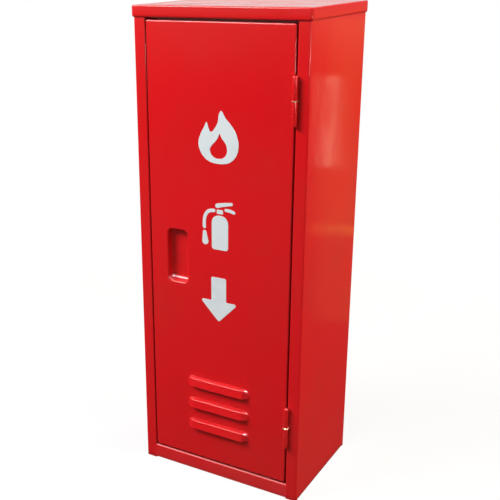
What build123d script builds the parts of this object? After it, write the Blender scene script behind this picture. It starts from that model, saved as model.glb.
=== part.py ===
"""Fire extinguisher cabinet of folded sheet steel, in millimetres.

+X is to the right, +Y runs from the door to the back, and +Z is up. The origin is on the ground,
at the middle of the overall box, which runs from the hinge barrels to the roof's rear edge.
"""

import os

from build123d import *

# Overall sizes of the folded box, without the roof's overhang
width = 262.0
depth = 186.0
height = 700.0

# The sheet and its bends
sheet = 0.8
bend = 2.0
bend_inner = bend - sheet
bend_middle = bend - sheet / 2

# Roof cap: a pan turned over the box, its lower edge hemmed
roof_height = 16.0
roof_side_overhang = 2.0
roof_front_overhang = 2.7
roof_back_overhang = 2.2
roof_corner = 3.2
roof_hem = 3.0
roof_clearance = 0.2

# Side panels
stile_width = 16.0
rear_flange = 14.0
stop_flange = 8.0
foot_flange = 14.0
foot_relief = 6.0

# Door, its gaps and its folds
door_depth = 15.0
door_stop_gap = 1.0
door_free_gap = 2.0
door_hinge_gap = 3.5
door_top_gap = 3.0
door_bottom_gap = 2.5
door_lip = 10.0
door_lip_trim = 12.0
door_corner = 3.0

# Floor pan, whose front flange is the bottom rail
floor_top = 24.0
rail_ground_gap = 2.0
rail_bend = 3.0
flange_relief = 4.0
notch_gap = 0.2

# Head rail behind the roof's fascia
head_drop = 0.5
head_stop = 9.0

# Finger pull
pull_width = 33.0
pull_height = 83.0
pull_depth = 12.0
pull_from_free_edge = 46.5
pull_below_middle = 1.25
pull_corner = 5.5
pull_floor_bend = 3.0
pull_back_bevel = 2.2
pull_mouth_bend = 2.0
pull_seam = 3.5

# Louvres, pressed out of the door
louvre_count = 3
louvre_length = 100.0
louvre_rise = 15.5
louvre_shoulder = 12.0
louvre_out = 8.0
louvre_out_shoulder = 7.0
louvre_shoulder_bend = 3.6
louvre_pitch = 36.5
louvre_lowest = 76.0

# Lift-off hinges
hinge_spread = 466.0
hinge_length = 64.0
hinge_radius = 4.0
hinge_forward = 4.2
hinge_leaf = 1.2
hinge_leaf_depth = 13.0
hinge_leaf_trim = 1.0
hinge_dome = 1.5
pin_radius = 2.0
pin_play = 0.05
pin_end_gap = 1.0
bore_roof = 3.0
washer = 1.2
washer_radius = 4.4
washer_gap = 0.1

# Magnetic catch behind the door's free edge
catch_width = 13.0
catch_depth = 12.7
catch_height = 40.0
catch_from_lip = 2.0
catch_gap = 0.3
catch_wall = 3.0
catch_edge = 1.0
catch_floor = 2.5
pole = 1.2
pole_proud = 0.2
strike = 1.0
strike_width = 24.0
strike_inset = 1.2
bracket = 1.0
bracket_height = 30.0
bracket_foot = 16.0
bracket_bend = 1.0

# Wall fixing holes in the back panel
wall_hole_radius = 3.5
wall_hole_from_side = 51.0
wall_hole_from_end = 100.0

# Places worked out from the sizes above
half_width = width / 2
opening_half = half_width - stile_width
barrel_proud = hinge_forward + hinge_radius
front = -(depth + roof_back_overhang - barrel_proud) / 2
back = front + depth
under_roof = height - sheet
fascia_bottom = height - roof_height
stop_front = front + door_depth + door_stop_gap
stop_end = opening_half - stop_flange
door_left = -opening_half + door_free_gap
door_right = opening_half - door_hinge_gap
door_bottom = floor_top + door_bottom_gap
door_top = fascia_bottom - door_top_gap
door_middle = (door_bottom + door_top) / 2
door_back = front + door_depth
pull_x = door_left + pull_from_free_edge
pull_z = door_middle - pull_below_middle
hinge_x = (door_right + opening_half) / 2
hinge_y = front - hinge_forward
hinge_centres = {"upper": door_middle + hinge_spread / 2, "lower": door_middle - hinge_spread / 2}
catch_left = door_left + door_lip + catch_from_lip
catch_x = catch_left + catch_width / 2
catch_front = door_back - sheet + catch_gap
catch_back = catch_front + catch_depth
pocket_width = catch_width - 2 * catch_wall


def block(x, y, z):
    """A box given by its low and high coordinate along each axis."""
    size = (x[1] - x[0], y[1] - y[0], z[1] - z[0])
    middle = ((x[0] + x[1]) / 2, (y[0] + y[1]) / 2, (z[0] + z[1]) / 2)
    return Pos(*middle) * Box(*size)


def strip(points, radii=bend_middle):
    """The section of a folded sheet, one sheet thick, along the middle line through the points."""
    return trace(FilletPolyline(*points, radius=radii), sheet)


def rim_edges(solid, face_y):
    """The edges of a solid that lie in one plane across Y."""
    return [edge for edge in solid.edges() if abs(edge.center().Y - face_y) < 1e-6]


def tray(x, y, z, corner, turned_y, turn):
    """A box with its edges along Y rounded, and the edges round one Y face turned over."""
    solid = block(x, y, z)
    solid = fillet(solid.edges().filter_by(Axis.Y), corner)
    return fillet(rim_edges(solid, turned_y), turn)


def side_panel(side):
    """One folded sheet: rear flange, side, front stile, jamb, door stop and foot."""
    outer = half_width - sheet / 2
    jamb = opening_half + sheet / 2
    stop = stop_front + sheet / 2
    section = strip([
        (side * (half_width - rear_flange), back - sheet / 2),
        (side * outer, back - sheet / 2),
        (side * outer, front + sheet / 2),
        (side * jamb, front + sheet / 2),
        (side * jamb, stop),
        (side * stop_end, stop),
    ])
    panel = extrude(section, under_roof)
    across = sorted((side * opening_half, side * (stop_end - 1)))
    panel -= block(across, (stop_front - bend, stop_front + bend), (0, floor_top + notch_gap))
    foot_y = (front + foot_relief, back - foot_relief)
    web = sorted((side * (half_width - bend), side * half_width))
    panel -= block(web, foot_y, (0, bend))
    foot = strip([
        (side * (half_width - foot_flange), sheet / 2),
        (side * outer, sheet / 2),
        (side * outer, bend + sheet),
    ])
    run = Plane(origin=(0, foot_y[1], 0), x_dir=(1, 0, 0), z_dir=(0, -1, 0))
    panel += extrude(run * foot, foot_y[1] - foot_y[0])
    return panel


def back_panel():
    """A flat sheet held inside the rear flanges, with four holes for wall screws."""
    edge = half_width - bend
    rear = back - sheet
    panel = block((-edge, edge), (rear - sheet, rear), (rail_ground_gap, under_roof))
    drill = Rot(90, 0, 0) * Cylinder(wall_hole_radius, 4 * sheet)
    hole_x = half_width - wall_hole_from_side
    for x in (-hole_x, hole_x):
        for z in (wall_hole_from_end, height - wall_hole_from_end):
            panel -= Pos(x, rear, z) * drill
    return panel


def roof_cap():
    """A pan turned over the box, its lower edge hemmed and rounded in to the walls."""
    def pan(inset, corner, top_roll, bottom):
        x = half_width + roof_side_overhang - inset
        y = (front - roof_front_overhang + inset, back + roof_back_overhang - inset)
        solid = block((-x, x), y, (bottom, height - inset))
        solid = fillet(solid.edges().filter_by(Axis.Z), corner)
        return fillet(solid.faces().sort_by(Axis.Z)[-1].edges(), top_roll)

    cap = pan(0, roof_corner, bend, fascia_bottom)
    cap = fillet(cap.faces().sort_by(Axis.Z)[0].edges(), roof_hem)
    cap -= pan(sheet, roof_corner - sheet, bend_inner, fascia_bottom + roof_hem)
    x = half_width + roof_clearance
    y = (front - roof_clearance, back + roof_clearance)
    mouth = block((-x, x), y, (fascia_bottom - bend, fascia_bottom + 2 * roof_hem))
    return cap - mouth


def floor_pan():
    """A plate between the walls with its four edges folded down; the front fold is the bottom rail."""
    wall = half_width - sheet
    rear = back - 2 * sheet
    plate_z = (floor_top - sheet, floor_top)
    step = stop_front + sheet + notch_gap
    pan = block((-opening_half, opening_half), (front + rail_bend, step), plate_z)
    inner = wall - bend
    pan += block((-inner, inner), (step, rear - bend), plate_z)
    low = rail_ground_gap
    high = floor_top - sheet / 2
    across = Plane(origin=(0, 0, 0), x_dir=(0, 1, 0), z_dir=(1, 0, 0))
    rail = strip([(front + sheet / 2, low), (front + sheet / 2, high), (front + 3 * rail_bend, high)],
                 rail_bend - sheet / 2)
    pan += extrude(across * rail, opening_half, both=True)
    fold = strip([(rear - sheet / 2, low), (rear - sheet / 2, high), (rear - 3 * bend, high)])
    pan += extrude(across * fold, wall - flange_relief, both=True)
    run = Plane(origin=(0, rear - flange_relief, 0), x_dir=(1, 0, 0), z_dir=(0, -1, 0))
    for side in (-1, 1):
        edge = side * (wall - sheet / 2)
        fold = strip([(edge, low), (edge, high), (edge - side * 3 * bend, high)])
        pan += extrude(run * fold, rear - flange_relief - step)
    return pan


def head_rail():
    """The strip over the door: front face, jamb and a stop that the door closes against."""
    bottom = fascia_bottom - head_drop + sheet / 2
    stop = stop_front + sheet / 2
    section = strip([
        (front + sheet / 2, under_roof),
        (front + sheet / 2, bottom),
        (stop, bottom),
        (stop, bottom - head_stop),
    ])
    across = Plane(origin=(0, 0, 0), x_dir=(0, 1, 0), z_dir=(1, 0, 0))
    rail = extrude(across * section, opening_half, both=True)
    for side in (-1, 1):
        past = sorted((side * stop_end, side * half_width))
        rail -= block(past, (stop_front - bend, stop_front + bend), (bottom - 2 * head_stop, under_roof))
    return rail


def finger_pull():
    """The pressed finger pull as two solids: its outside, and the pocket that a hand reaches into."""
    x = (pull_x - pull_width / 2, pull_x + pull_width / 2)
    z = (pull_z - pull_height / 2, pull_z + pull_height / 2)
    floor_y = front + pull_depth
    pocket = tray(x, (front - bend, floor_y), z, pull_corner, floor_y, pull_floor_bend)
    outer_x = (x[0] - sheet, x[1] + sheet)
    outer_z = (z[0] - sheet, z[1] + sheet)
    outer_y = floor_y + sheet
    shell = block(outer_x, (front + sheet / 2, outer_y), outer_z)
    shell = fillet(shell.edges().filter_by(Axis.Y), pull_corner + sheet)
    return chamfer(rim_edges(shell, outer_y), pull_back_bevel), pocket


def finger_pull_cup():
    """The cup of the finger pull, behind the mouth that the door's sheet turns in to meet it."""
    shell, pocket = finger_pull()
    seam = front + pull_seam
    return (shell - pocket) & block((door_left, door_right), (seam, door_back), (door_bottom, door_top))


def louvre_places():
    """The height of each louvre's lip, from the lowest up."""
    return [louvre_lowest + row * louvre_pitch for row in range(louvre_count)]


def louvre_profiles():
    """The outer and inner outline of a hood: distance out of the door against height over its lip."""
    top_slope = (louvre_rise - louvre_shoulder) / louvre_out_shoulder
    face_slope = (louvre_out - louvre_out_shoulder) / louvre_shoulder
    past = louvre_out
    line = FilletPolyline(
        (-past, louvre_rise + past * top_slope),
        (louvre_out_shoulder, louvre_shoulder),
        (louvre_out + past * face_slope, -past),
        radius=louvre_shoulder_bend,
    )
    outer = make_face(line + Polyline(line @ 1, (-past, -past), line @ 0))
    inner = offset(outer, -sheet)
    quarter = Pos(past, louvre_rise) * Rectangle(2 * past, 2 * louvre_rise)
    return outer & quarter, inner & quarter


def louvre_form(profile, lip_z):
    """A profile drawn out along the louvre and swung round to the door at both ends."""
    straight = louvre_length / 2 - louvre_out
    form = None
    for side in (-1, 1):
        end = Plane(origin=(side * straight, front, lip_z), x_dir=(0, -1, 0), z_dir=(-1, 0, 0))
        half = extrude(end * profile, side * straight)
        half += revolve(end * profile, Axis((side * straight, front, lip_z), (0, 0, side)), 90)
        form = half if form is None else form + half
    return form


def with_louvre(panel, lip_z):
    """The panel with one hood pressed forward, open below and through the sheet."""
    outer, inner = louvre_profiles()
    hollow = louvre_form(inner, lip_z)
    footprint = hollow.faces().filter_by(Axis.Y).sort_by(Axis.Y)[-1]
    return panel + louvre_form(outer, lip_z) - hollow - extrude(footprint, 2 * sheet, dir=(0, 1, 0))


def door_panel():
    """One pressed sheet: a pan with lips down its long sides, louvres and the mouth of the pull."""
    x = (door_left, door_right)
    z = (door_bottom, door_top)
    inner_x = (x[0] + sheet, x[1] - sheet)
    inner_z = (z[0] + sheet, z[1] - sheet)
    pan = tray(x, (front, door_back), z, door_corner, front, bend)
    inner_y = (front + sheet, door_back + bend)
    pan -= tray(inner_x, inner_y, inner_z, door_corner - sheet, front + sheet, bend_inner)
    lip_z = (door_bottom + door_lip_trim, door_top - door_lip_trim)
    for side, edge in ((1, door_left), (-1, door_right)):
        lip_x = sorted((edge + side * sheet / 2, edge + side * door_lip))
        pan += block(lip_x, (door_back - sheet, door_back), lip_z)

    shell, pocket = finger_pull()
    seam = front + pull_seam
    mouth = shell & block(x, (front, seam), z)
    pan = pan + mouth - pocket
    rim = [edge for edge in rim_edges(pan, front)
           if abs(edge.center().X - pull_x) < pull_width and abs(edge.center().Z - pull_z) < pull_height]
    pan = fillet(rim, pull_mouth_bend)

    for lip in louvre_places():
        pan = with_louvre(pan, lip)
    return pan


def hinge_frame_leaf(centre):
    """The lower half of a lift-off hinge, welded to the jamb: half a barrel and its leaf."""
    bottom = centre - hinge_length / 2
    top = centre - washer / 2
    half = Pos(hinge_x, hinge_y, (bottom + top) / 2) * Cylinder(hinge_radius, top - bottom)
    half += block((opening_half - hinge_leaf, opening_half), (hinge_y, front + hinge_leaf_depth),
                  (bottom, top - hinge_leaf_trim))
    return half - Pos(hinge_x, hinge_y, centre) * Cylinder(pin_radius, hinge_length)


def hinge_door_leaf(centre):
    """The upper half of a lift-off hinge, welded to the door: a domed half barrel and its leaf."""
    bottom = centre + washer / 2 + washer_gap
    top = centre + hinge_length / 2
    barrel = Pos(hinge_x, hinge_y, (bottom + top) / 2) * Cylinder(hinge_radius, top - bottom)
    half = chamfer(barrel.edges().sort_by(Axis.Z)[-1], hinge_dome)
    half += block((door_right, door_right + hinge_leaf), (hinge_y, front + hinge_leaf_depth),
                  (bottom + hinge_leaf_trim, top - hinge_dome))
    bore_top = top - bore_roof
    bore_z = (bottom - washer + bore_top) / 2
    bore = Cylinder(pin_radius + pin_play, bore_top - bottom + washer)
    return half - Pos(hinge_x, hinge_y, bore_z) * bore


def hinge_pin(centre):
    """The pin, pressed into the lower half and running in the upper one."""
    bottom = centre - hinge_length / 2
    top = centre + hinge_length / 2 - bore_roof - pin_end_gap
    return Pos(hinge_x, hinge_y, (bottom + top) / 2) * Cylinder(pin_radius, top - bottom)


def hinge_washer(centre):
    """The ring that the upper half turns on."""
    ring = Cylinder(washer_radius, washer) - Cylinder(pin_radius, 2 * washer)
    return Pos(hinge_x, hinge_y, centre) * ring


def catch_bracket():
    """An angle from the left side to the back of the catch."""
    wall = -half_width + sheet
    reach = catch_left + catch_width
    section = trace(FilletPolyline((wall + bracket / 2, catch_back + bracket_foot),
                                   (wall + bracket / 2, catch_back + bracket / 2),
                                   (reach, catch_back + bracket / 2), radius=bracket_bend), bracket)
    return Pos(0, 0, pull_z - bracket_height / 2) * extrude(section, bracket_height)


def catch_case():
    """The plastic case of the catch, open towards the strike plate."""
    case = block((catch_left, catch_left + catch_width), (catch_front, catch_back),
                 (pull_z - catch_height / 2, pull_z + catch_height / 2))
    case = fillet(case.edges().filter_by(Axis.Y), catch_edge)
    pocket = block((catch_x - pocket_width / 2, catch_x + pocket_width / 2),
                   (catch_front - catch_wall, catch_back - catch_floor),
                   (pull_z - catch_height / 2 + catch_wall, pull_z + catch_height / 2 - catch_wall))
    return case - pocket


def catch_magnet():
    """The magnet, between the two pole plates."""
    half_x = pocket_width / 2 - pole
    return block((catch_x - half_x, catch_x + half_x), (catch_front + pole, catch_back - catch_floor),
                 (pull_z - catch_height / 2 + catch_wall, pull_z + catch_height / 2 - catch_wall))


def catch_pole_plates():
    """The two steel plates that carry the pull of the magnet to the strike plate."""
    plates = []
    for side in (-1, 1):
        x = sorted((catch_x + side * pocket_width / 2, catch_x + side * (pocket_width / 2 - pole)))
        plates.append(block(x, (catch_front - pole_proud, catch_back - catch_floor),
                            (pull_z - catch_height / 2 + catch_wall,
                             pull_z + catch_height / 2 - catch_wall)))
    return Compound(plates)


def catch_strike_plate():
    """The steel plate on the door's lip that the catch holds."""
    left = door_left + strike_inset
    lip_front = door_back - sheet
    return block((left, left + strike_width), (lip_front - strike, lip_front),
                 (pull_z - catch_height / 2, pull_z + catch_height / 2))


def build():
    """Every sub-part by its node's name."""
    parts = {
        "left_side_panel": side_panel(-1),
        "right_side_panel": side_panel(1),
        "back_panel": back_panel(),
        "roof_cap": roof_cap(),
        "floor_pan": floor_pan(),
        "head_rail": head_rail(),
        "catch_bracket": catch_bracket(),
        "catch_case": catch_case(),
        "catch_magnet": catch_magnet(),
        "catch_pole_plates": catch_pole_plates(),
        "catch_strike_plate": catch_strike_plate(),
        "door_panel": door_panel(),
        "finger_pull_cup": finger_pull_cup(),
    }
    for place, centre in hinge_centres.items():
        parts[f"{place}_hinge_frame_leaf"] = hinge_frame_leaf(centre)
        parts[f"{place}_hinge_door_leaf"] = hinge_door_leaf(centre)
        parts[f"{place}_hinge_pin"] = hinge_pin(centre)
        parts[f"{place}_hinge_washer"] = hinge_washer(centre)
    return parts


def main():
    os.makedirs("parts", exist_ok=True)
    for name, shape in build().items():
        export_step(shape, f"parts/{name}.step")


if __name__ == "__main__":
    main()
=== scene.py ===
"""The look of a fire extinguisher cabinet of folded, enamelled sheet steel, built round its CAD frame.

Lengths in the geometry are millimetres until a mesh is made. +X is to the right, the door faces -Y
and +Z is up.
"""

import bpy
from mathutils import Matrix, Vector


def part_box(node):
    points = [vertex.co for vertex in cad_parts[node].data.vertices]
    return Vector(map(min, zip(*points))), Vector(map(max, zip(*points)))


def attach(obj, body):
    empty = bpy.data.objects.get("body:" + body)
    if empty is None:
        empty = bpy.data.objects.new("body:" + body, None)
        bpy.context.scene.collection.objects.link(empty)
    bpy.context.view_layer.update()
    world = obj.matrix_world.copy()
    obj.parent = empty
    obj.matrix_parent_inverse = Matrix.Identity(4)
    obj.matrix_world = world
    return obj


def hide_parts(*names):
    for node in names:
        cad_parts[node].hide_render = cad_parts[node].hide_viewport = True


bl_info = {
    "name": "Fire extinguisher cabinet",
    "version": (1, 0, 0),
    "blender": (4, 5, 0),
    "location": "View3D > Sidebar > Cabinet",
    "description": "Dresses the CAD frame of a sheet steel cabinet with smooth panels and baked enamel",
    "category": "Object",
}

from types import SimpleNamespace

import bmesh
import bpy
import numpy as np
from mathutils import Matrix, Vector

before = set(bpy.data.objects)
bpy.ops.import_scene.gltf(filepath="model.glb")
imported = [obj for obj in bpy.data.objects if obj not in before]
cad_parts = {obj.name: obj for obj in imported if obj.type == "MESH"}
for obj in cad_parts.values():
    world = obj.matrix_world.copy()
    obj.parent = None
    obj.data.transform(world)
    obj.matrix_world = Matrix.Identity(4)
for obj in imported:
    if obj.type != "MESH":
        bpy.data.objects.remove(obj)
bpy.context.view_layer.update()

MM = 0.001
HALF_PI = np.pi / 2

# Lengths in millimetres that differ by less are the same.
SAME = 1e-6

# How far from a fold the short piece of a run that lies next to it reaches, in millimetres.
FOLD_SUPPORT = 0.4

# Between faces that meet at more than this, an edge stays sharp.
SHARP_EDGE = np.radians(38.0)

# How deep the enamel's orange peel and the grain of metal and film are, in metres.
PEEL_DEPTH = 0.00006
GRAIN_DEPTH = 0.00002

LOUVRES = 3
HINGES = ("upper", "lower")
SIDES = {-1: "left_side", 1: "right_side"}


def cad_box(node):
    """The lowest and highest corner of a CAD node at rest, in millimetres."""
    low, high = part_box(node)
    return np.array(low) / MM, np.array(high) / MM


def length(name, description, millimetres):
    """A length that a user can change."""
    return bpy.props.FloatProperty(
        name=name, description=description, default=millimetres * MM, min=0.0,
        precision=4, subtype="DISTANCE", unit="LENGTH",
    )


def colour(name, description, value):
    """A colour that a user can change."""
    return bpy.props.FloatVectorProperty(
        name=name, description=description, default=value, size=3, min=0.0, max=1.0, subtype="COLOR",
    )


class CabinetSizes(bpy.types.PropertyGroup):
    """Sizes of the pressed and folded forms."""

    sheet: length("Sheet", "Thickness of the steel sheet", 0.8)
    bend: length("Bend", "Outer radius of the folds", 2.0)
    door_depth: length("Door depth", "From the door's face to its back", 15.0)
    door_corner: length("Door corner", "Radius of the door's corners seen from the front", 3.0)
    door_trim: length("Door trim", "How far the door's left edge stops short of its CAD place", 1.2)
    door_lip: length("Door lip", "Width of the lips behind the door's long sides", 10.0)
    lip_trim: length("Lip trim", "How far the lips stop short of the door's ends", 12.0)
    pull_width: length("Pull width", "Width of the finger pull's mouth", 33.0)
    pull_height: length("Pull height", "Height of the finger pull's mouth", 79.5)
    pull_drop: length("Pull drop", "How far the finger pull's middle is under that of its CAD cup", 1.7)
    pull_corner: length("Pull corner", "Radius of the finger pull's corners", 7.5)
    pull_rim: length("Pull rim", "How deep the rim of the finger pull's mouth is", 3.5)
    louvre_length: length("Louvre length", "Length of a louvre over its ends", 104.0)
    louvre_rise: length("Louvre rise", "Height of a louvre over its lip", 13.6)
    louvre_out: length("Louvre depth", "How far a louvre stands out at its lip", 8.0)
    louvre_shoulder: length("Louvre shoulder", "How far a louvre stands out where it turns over", 5.0)
    louvre_pitch: length("Louvre pitch", "From one louvre to the next", 35.6)
    louvre_start: length("Louvre start", "From the door's lower edge to the lowest lip", 51.8)
    louvre_end: length("Louvre end", "Length of the dome at each end of a louvre", 14.0)
    louvre_corner: length("Louvre corner", "Radius of a louvre's upper corners seen from the front", 9.0)
    hinge_gap: length("Hinge gap", "From the door's right edge to the stile", 1.9)
    free_gap: length("Free gap", "From the door's left edge to the stile", 1.2)
    rear_flange: length("Rear flange", "Width of the flanges behind the back panel's edges", 14.0)
    foot_trim: length("Foot trim", "How far a foot stops short of the front and the back", 6.0)
    roof_corner: length("Roof corner", "Radius of the roof's corners seen from above", 3.2)
    roof_sheet: length("Roof sheet", "Thickness of the roof's sheet", 0.6)
    hem_roll: length("Hem roll", "Height of the rounded hem under the fascia", 3.4)
    leaf_sheet: length("Leaf sheet", "Thickness of the hinge leaves", 0.9)
    knuckle_trim: length("Knuckle trim", "How much slimmer in radius a knuckle is than its CAD barrel", 0.5)
    knuckle_ease: length("Knuckle ease", "Radius of a knuckle's eased ends", 0.5)
    knuckle_crown: length("Knuckle crown", "Radius of the domed top of the door's knuckles", 2.2)
    washer_bore: length("Washer bore", "Radius of a washer's hole", 2.05)
    mark_thickness: length("Mark thickness", "How thick the pictograms' film is", 0.3)


class CabinetColours(bpy.types.PropertyGroup):
    """Colours of the finishes, in linear light."""

    enamel: colour("Enamel", "The red baked enamel", (0.66, 0.006, 0.010))
    worn: colour("Worn enamel", "The enamel where it has faded and dulled", (0.56, 0.016, 0.014))
    primer: colour("Primer", "What shows where the enamel is chipped", (0.30, 0.27, 0.25))
    # Painted shade: the dark red that the enamel is mixed towards in its crevices, where little open sky is
    # in sight.
    crevice_shade: colour("Grime", "What has gathered in the crevices", (0.11, 0.016, 0.012))
    dust: colour("Dust", "What has settled on faces that look up", (0.55, 0.50, 0.46))
    film: colour("Film", "The white film of the pictograms", (0.68, 0.73, 0.75))
    zinc: colour("Zinc plate", "Zinc plated steel", (0.62, 0.62, 0.60))
    pin: colour("Pin steel", "The hinge pins", (0.55, 0.55, 0.55))
    washer: colour("Washer", "The hinge washers", (0.36, 0.18, 0.12))
    plastic: colour("Plastic", "The case of the catch", (0.03, 0.03, 0.03))
    magnet: colour("Magnet", "The ferrite magnet", (0.08, 0.08, 0.09))
    floor: colour("Floor", "The pale floor", (0.80, 0.80, 0.79))
    bounce: colour("Bounce", "The light that the floor throws back at the cabinet", (0.05, 0.05, 0.05))


def sizes():
    """The sizes in millimetres, by name."""
    group = bpy.context.scene.cabinet_sizes
    return SimpleNamespace(**{name: getattr(group, name) / MM for name in CabinetSizes.__annotations__})


def colours():
    """The colours by name, each with an alpha of 1."""
    group = bpy.context.scene.cabinet_colours
    return SimpleNamespace(**{name: (*getattr(group, name), 1.0) for name in CabinetColours.__annotations__})


# Lines, folds and waves


def spread(start, *spans):
    """Rising grid lines from start. Each span is where it ends and the number of steps that lead there."""
    runs = [np.array([float(start)])]
    for end, steps in spans:
        runs.append(np.linspace(runs[-1][-1], end, steps + 1)[1:])
    return np.concatenate(runs)


def arc(start, end, steps):
    """Angles from start to end in equal steps."""
    return np.linspace(start, end, steps + 1)


def folded(points, radii, steps=7, run=8.0):
    """A line through the points, each inner corner rounded to an arc that touches both its runs.

    The runs are divided into pieces no longer than run, with a short piece next to each arc.
    """
    points = np.array(points, float)
    line = [points[:1]]
    radii = np.broadcast_to(radii, len(points) - 2)
    for before, corner, after, radius in zip(points[:-2], points[1:-1], points[2:], radii):
        there = (corner - before) / np.linalg.norm(corner - before)
        onward = (after - corner) / np.linalg.norm(after - corner)
        turn = np.arccos(np.clip(there @ onward, -1, 1))
        tangent = radius * np.tan(turn / 2)
        centre = corner - there * tangent + radius * across(there, onward)
        start = corner - there * tangent - centre
        angle = arc(0, turn, steps)[:, None]
        line.append(centre + start * np.cos(angle) + radius * there * np.sin(angle))
    line.append(points[-1:])
    pieces = [line[0]]
    for block in line[1:]:
        last = pieces[-1][-1]
        gap = np.linalg.norm(block[0] - last)
        if gap > SAME:
            support = min(FOLD_SUPPORT, gap / 3)
            shares = np.concatenate([
                [support / gap],
                np.linspace(support / gap, 1 - support / gap, max(int(gap / run), 1) + 1)[1:],
                [1.0],
            ])
            pieces.append(last + shares[:, None] * (block[0] - last))
            block = block[1:]
        pieces.append(block)
    return np.concatenate(pieces)


def across(there, onward):
    """The unit vector at right angles to there, on the side that onward turns to."""
    sideways = onward - there * (there @ onward)
    return sideways / np.linalg.norm(sideways)


def smooth_step(value):
    """0 below 0, 1 above 1 and a smooth S between."""
    value = np.clip(value, 0, 1)
    return value * value * (3 - 2 * value)


def smooth_min(first, second, reach):
    """The smaller of two values, rounded over where they differ by less than reach."""
    share = np.clip(reach - np.abs(first - second), 0, None) / reach
    return np.minimum(first, second) - share * share * reach / 4


def blend_in(value, reach):
    """The value where it is above reach, 0 where it is below -reach, and a parabola between."""
    return np.where(value > reach, value, np.clip(value + reach, 0, None) ** 2 / (4 * reach))


# The three waves on a thin panel: share of the height, steps along u and up v, and where each starts
PANEL_WAVES = ((0.5, 0.9, 0.35, 0.7), (0.4, 0.25, -0.6, 2.1), (0.2, 1.3, -1.1, 4.0))


def waves(u, v, span, height):
    """How far a thin panel stands off flat: three long crossing sine waves of about one span each."""
    turn = 2 * np.pi / span
    return height * sum(
        share * np.sin(turn * (along * u + up * v) + start) for share, along, up, start in PANEL_WAVES)


def away_from(value, low, high, reach):
    """0 at and outside low and high, rising smoothly to 1 at reach inside them."""
    return smooth_step((value - low) / reach) * smooth_step((high - value) / reach)


# Grids of points, joined into one skin


class Skin:
    """Grids of points that are welded into one mesh."""

    def __init__(self):
        self.points = []
        self.faces = []
        self.count = 0

    def add(self, grid, keep=None, close_rows=False, close_columns=False, flip=False):
        """Adds a grid of points. Its faces look towards column direction x row direction."""
        rows, columns = grid.shape[:2]
        index = np.arange(rows * columns).reshape(rows, columns) + self.count
        if close_rows:
            index = np.concatenate([index, index[:1]])
        if close_columns:
            index = np.concatenate([index, index[:, :1]], axis=1)
        corners = [index[:-1, :-1], index[:-1, 1:], index[1:, 1:], index[1:, :-1]]
        if flip:
            corners.reverse()
        quads = np.stack(corners, axis=-1)
        if keep is not None:
            quads = quads[keep]
        self.points.append(grid.reshape(-1, 3))
        self.faces.append(quads.reshape(-1, 4))
        self.count += rows * columns
        return self

    def mesh(self, name, weld=0.002):
        """The mesh in metres, with points closer than weld made one."""
        points = np.concatenate(self.points) * MM
        quads = np.concatenate(self.faces)
        made = bpy.data.meshes.new(name)
        made.vertices.add(len(points))
        made.vertices.foreach_set("co", points.astype(np.float32).ravel())
        made.loops.add(quads.size)
        made.loops.foreach_set("vertex_index", quads.astype(np.int32).ravel())
        made.polygons.add(len(quads))
        made.polygons.foreach_set("loop_start", np.arange(0, quads.size, 4, dtype=np.int32))
        made.update(calc_edges=True)
        made.validate()
        shape = bmesh.new()
        shape.from_mesh(made)
        bmesh.ops.remove_doubles(shape, verts=shape.verts, dist=weld * MM)
        loose = [vertex for vertex in shape.verts if not vertex.link_faces]
        bmesh.ops.delete(shape, geom=loose, context="VERTS")
        shape.to_mesh(made)
        shape.free()
        return made


def thickened(thing, thickness, offset):
    """Gives the object's sheet its thickness for good: inwards at an offset of -1, to both sides at 0."""
    sheet = thing.data
    wall = thing.modifiers.new("Sheet", "SOLIDIFY")
    wall.thickness = thickness * MM
    wall.offset = offset
    wall.use_even_offset = True
    wall.use_quality_normals = True
    bpy.context.view_layer.update()
    graph = bpy.context.evaluated_depsgraph_get()
    solid = bpy.data.meshes.new_from_object(thing.evaluated_get(graph))
    thing.modifiers.clear()
    thing.data = solid
    bpy.data.meshes.remove(sheet)
    solid.name = thing.name


def piece(name, skin, body, finish, thickness=0.0, offset=-1.0, replaces=()):
    """A finished object of the skin, thickened if asked, that rides on a CAD body."""
    thing = bpy.data.objects.new(name, skin.mesh(name))
    bpy.context.collection.objects.link(thing)
    if thickness:
        thickened(thing, thickness, offset)
    thing.data.polygons.foreach_set("use_smooth", np.ones(len(thing.data.polygons), bool))
    thing.data.set_sharp_from_angle(angle=SHARP_EDGE)
    thing.data.materials.clear()
    thing.data.materials.append(material_of(finish))
    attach(thing, body)
    if replaces:
        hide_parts(*replaces)


def table(us, vs, depth=0.0):
    """A grid over the lines us and vs as an array of (u, v, depth)."""
    u, v = np.meshgrid(us, vs)
    return np.stack([u, v, np.full_like(u, depth)], axis=-1)


def round_path(us, vs, turn):
    """The way round the rectangle with grid lines us and vs, anticlockwise, turning in steps at each corner.

    Gives the points on the rectangle and the outward direction at each.
    """
    sides = [
        (us, np.full_like(us, vs[0])),
        (np.full_like(vs, us[-1]), vs),
        (us[::-1], np.full_like(us, vs[-1])),
        (np.full_like(vs, us[0]), vs[::-1]),
    ]
    base, angle = [], []
    for number, (u, v) in enumerate(sides):
        start = (number - 1) * HALF_PI
        corner = arc(start, start + HALF_PI, turn)[1:-1]
        base.append(np.stack([u, v], axis=-1))
        base.append(np.tile([u[-1], v[-1]], (len(corner), 1)))
        angle += [np.full(len(u), start), corner]
    angle = np.concatenate(angle)
    return np.concatenate(base), np.stack([np.cos(angle), np.sin(angle)], axis=-1)


def carried(base, direction, radius, depth):
    """A profile carried along a path: base + direction * radius, at each depth, as (u, v, depth)."""
    radius = np.broadcast_to(radius, (len(base), np.shape(radius)[-1]))
    depth = np.broadcast_to(depth, radius.shape)
    flat = base[:, None, :] + direction[:, None, :] * radius[:, :, None]
    return np.concatenate([flat, depth[:, :, None]], axis=-1)


def facing_front(grid, face):
    """(u, v, depth) to X, Z and a depth behind the plane y = face."""
    return np.stack([grid[..., 0], face + grid[..., 2], grid[..., 1]], axis=-1)


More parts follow.
